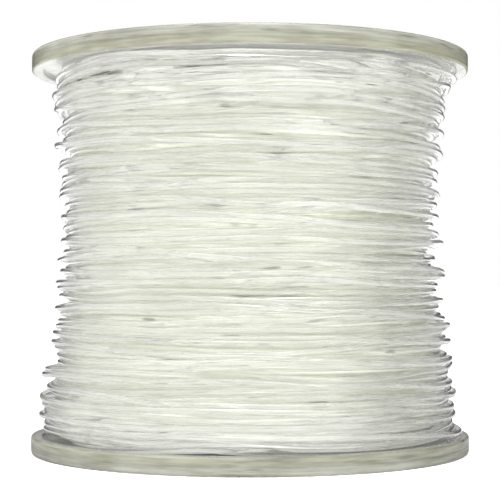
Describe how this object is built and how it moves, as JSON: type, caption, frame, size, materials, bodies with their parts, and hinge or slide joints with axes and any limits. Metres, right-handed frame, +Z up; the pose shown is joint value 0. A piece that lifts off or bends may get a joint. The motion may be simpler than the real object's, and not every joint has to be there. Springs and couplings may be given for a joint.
{
  "type": "fishing line spool",
  "caption": "Upright spool of clear nylon fishing line: frosted round flanges on a hollow core, packed with uneven glossy line.",
  "frame": {"origin": "middle of the lower flange's foot, on the spool's axis", "axes": "+Z up along the spool's axis, from the lower flange to the upper one; +Y towards the back, where the line-keeper slits are"},
  "size_m": [0.076, 0.076, 0.0688],
  "materials": {
    "frosted_flange": "frosted see-through polystyrene, slightly yellowed",
    "core_plastic": "plain moulded polystyrene",
    "clear_line": "clear glossy nylon monofilament, milky in the pack",
    "clear_tape": "thin adhesive tape"
  },
  "bodies": {
    "root": {"bottom_flange": "frosted_flange", "top_flange": "frosted_flange", "winding_core": "core_plastic", "line_winding": "clear_line", "line_start_tape": "clear_tape"}
  },
  "joints": []
}
